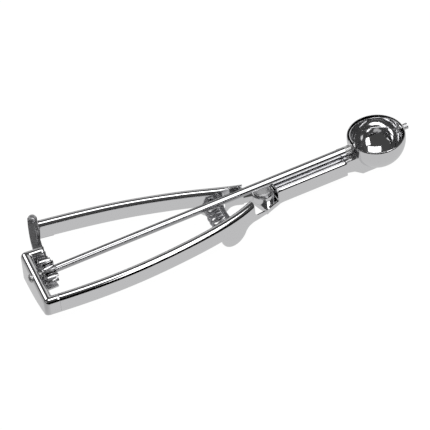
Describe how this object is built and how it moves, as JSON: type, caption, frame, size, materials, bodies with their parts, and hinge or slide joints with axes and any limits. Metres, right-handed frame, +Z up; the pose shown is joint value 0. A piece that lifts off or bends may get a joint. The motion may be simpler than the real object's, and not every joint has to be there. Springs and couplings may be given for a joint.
{
  "type": "ice cream scoop",
  "caption": "Squeeze-handle disher: two sheet-steel arms, a rack and pinion at the far end, and a long shaft that sweeps a scraper through a small round bowl.",
  "frame": {"origin": "on the axis of the hollow pivot rivet that joins the two arms, inside the rivet", "axes": "+X along the shaft towards the bowl, +Z up out of the bowl's mouth, +Y towards the moving arm"},
  "size_m": [0.2284, 0.0769, 0.0227],
  "materials": {
    "polished_steel": "polished",
    "blade_steel": "polished",
    "spring_steel": "drawn wire",
    "cast_steel": "machined",
    "screw_steel": "turned",
    "bearing_steel": "turned, plated",
    "inner_steel": "satin"
  },
  "bodies": {
    "frame": {"bowl": "polished_steel", "bowl_saddle": "polished_steel", "neck_shell": "polished_steel", "pivot_plate": "polished_steel", "fixed_arm": "polished_steel", "end_housing": "polished_steel", "housing_splice": "inner_steel", "rack_guide": "inner_steel", "front_bearing": "bearing_steel", "rear_bearing": "bearing_steel", "spring_seat_fixed": "inner_steel", "pivot_rivet": "polished_steel", "pivot_washer": "polished_steel", "blade_pivot_rivet": "blade_steel", "return_spring": "spring_steel"},
    "handle": {"moving_arm": "polished_steel", "pivot_eye": "polished_steel", "rack": "cast_steel", "rack_stop_screw": "screw_steel", "spring_seat_moving": "inner_steel"},
    "scraper": {"shaft": "blade_steel", "pinion": "cast_steel", "pinion_pin": "screw_steel", "shaft_washer": "blade_steel", "scraper_blade": "blade_steel"}
  },
  "joints": [
    {"name": "handle_squeeze", "type": "hinge", "parent": "frame", "child": "handle", "pos_m": [0, 0, 0], "axis": [0, 0, 1], "range_deg": [0, 7.7], "stiffness_Nm_per_rad": 1.5, "springref_deg": -20.05, "deforming": ["return_spring"]},
    {"name": "shaft_spin", "type": "hinge", "parent": "frame", "child": "scraper", "pos_m": [0, 0, 0.0067], "axis": [1, 0, 0], "range_deg": [-171, 0]}
  ],
  "couplings": [
    {"joint": "shaft_spin", "follows": "handle_squeeze", "ratio": -22.062}
  ]
}
